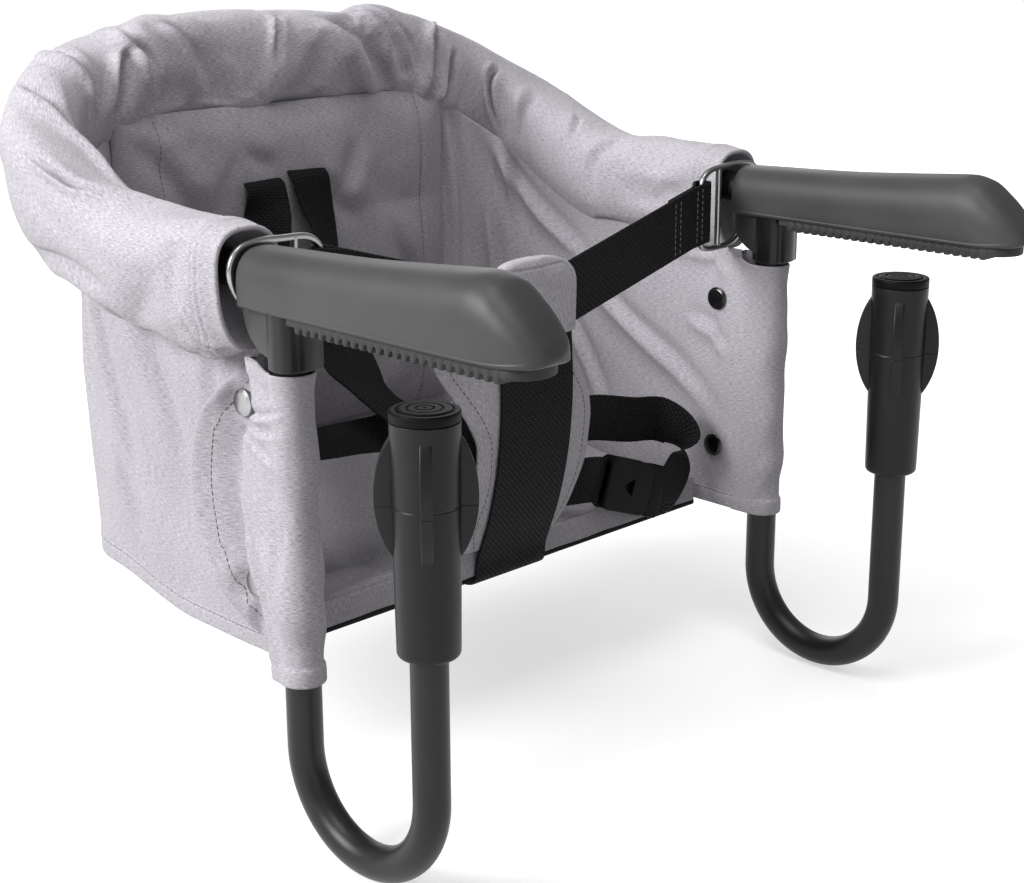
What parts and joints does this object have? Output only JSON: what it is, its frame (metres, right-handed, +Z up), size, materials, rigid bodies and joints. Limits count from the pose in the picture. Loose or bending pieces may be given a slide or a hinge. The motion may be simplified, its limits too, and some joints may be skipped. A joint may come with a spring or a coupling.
{
  "type": "hook on table chair",
  "caption": "Clip-on child's chair: a fabric seat on a bent tube hoop, with padded arms above and screw-clamp hooks below a table edge.",
  "frame": {"origin": "on the table top, midway between the axes of the two rear legs", "axes": "+X toward the sitter's left, +Y toward the chair's back, +Z up"},
  "size_m": [0.366, 0.389, 0.3509],
  "materials": {
    "powder_coat": "satin",
    "black_plastic": "fine grain",
    "arm_rubber": "matte",
    "sole_rubber": "matte",
    "plated_steel": "bright nickel",
    "zinc_steel": "zinc plated",
    "brass_insert": "turned",
    "grey_fabric": "melange twill",
    "lining_fabric": "melange twill",
    "black_fabric": "plain weave",
    "black_webbing": "basket weave",
    "board": "raw"
  },
  "bodies": {
    "frame": {"hoop_tube": "powder_coat", "left_elbow": "black_plastic", "right_elbow": "black_plastic", "left_arm_cover": "arm_rubber", "right_arm_cover": "arm_rubber", "left_arm_grip": "sole_rubber", "right_arm_grip": "sole_rubber", "left_strap_ring": "plated_steel", "right_strap_ring": "plated_steel", "bolster": "grey_fabric", "left_side_panel": "grey_fabric", "right_side_panel": "grey_fabric", "back_panel": "grey_fabric", "back_pad": "lining_fabric", "base_cover": "black_fabric", "seat_board": "board", "seat_cushion": "grey_fabric", "left_leg_flap": "grey_fabric", "right_leg_flap": "grey_fabric", "left_snap_cap_lower": "plated_steel", "right_snap_cap_lower": "plated_steel", "left_snap_stud_lower": "plated_steel", "right_snap_stud_lower": "plated_steel", "left_snap_cap_upper": "plated_steel", "right_snap_cap_upper": "plated_steel", "left_snap_stud_upper": "plated_steel", "right_snap_stud_upper": "plated_steel", "crotch_pad": "grey_fabric", "crotch_cap": "grey_fabric", "crotch_strap": "black_webbing", "left_diagonal_strap": "black_webbing", "right_diagonal_strap": "black_webbing", "left_waist_strap": "black_webbing", "right_waist_strap": "black_webbing", "belt_tail": "black_webbing", "buckle_body": "black_plastic"},
    "left_hook": {"left_hook_tube": "powder_coat", "left_leg_plug": "black_plastic", "left_pivot_bolt": "zinc_steel", "left_clamp_screw": "zinc_steel"},
    "right_hook": {"right_hook_tube": "powder_coat", "right_leg_plug": "black_plastic", "right_pivot_bolt": "zinc_steel", "right_clamp_screw": "zinc_steel"},
    "left_pad": {"left_clamp_pad": "black_plastic"},
    "right_pad": {"right_clamp_pad": "black_plastic"},
    "left_knob": {"left_clamp_knob": "black_plastic", "left_thread_nut": "brass_insert"},
    "right_knob": {"right_clamp_knob": "black_plastic", "right_thread_nut": "brass_insert"},
    "tongue": {"buckle_tongue": "black_plastic"}
  },
  "joints": [
    {"name": "left_hook_swivel", "type": "hinge", "parent": "frame", "child": "left_hook", "pos_m": [-0.163, 0, 0], "axis": [0, 0, 1], "range_deg": [0, 90]},
    {"name": "right_hook_swivel", "type": "hinge", "parent": "frame", "child": "right_hook", "pos_m": [0.163, 0, 0], "axis": [0, 0, -1], "range_deg": [0, 90]},
    {"name": "left_pad_lift", "type": "slide", "parent": "left_hook", "child": "left_pad", "axis": [0, 0, 1], "range_m": [-0.02, 0.006]},
    {"name": "right_pad_lift", "type": "slide", "parent": "right_hook", "child": "right_pad", "axis": [0, 0, 1], "range_m": [-0.02, 0.006]},
    {"name": "left_knob_turn", "type": "hinge", "parent": "left_pad", "child": "left_knob", "pos_m": [-0.163, -0.082, 0], "axis": [0, 0, 1], "range_deg": [-1800, 540]},
    {"name": "right_knob_turn", "type": "hinge", "parent": "right_pad", "child": "right_knob", "pos_m": [0.163, -0.082, 0], "axis": [0, 0, 1], "range_deg": [-1800, 540]},
    {"name": "buckle_release", "type": "slide", "parent": "frame", "child": "tongue", "axis": [0.9397, 0, -0.342], "range_m": [0, 0.026], "deforming": ["right_waist_strap"]}
  ],
  "couplings": [
    {"joint": "left_pad_lift", "follows": "left_knob_turn", "m_per_rad": 0.00063661},
    {"joint": "right_pad_lift", "follows": "right_knob_turn", "m_per_rad": 0.00063661}
  ]
}
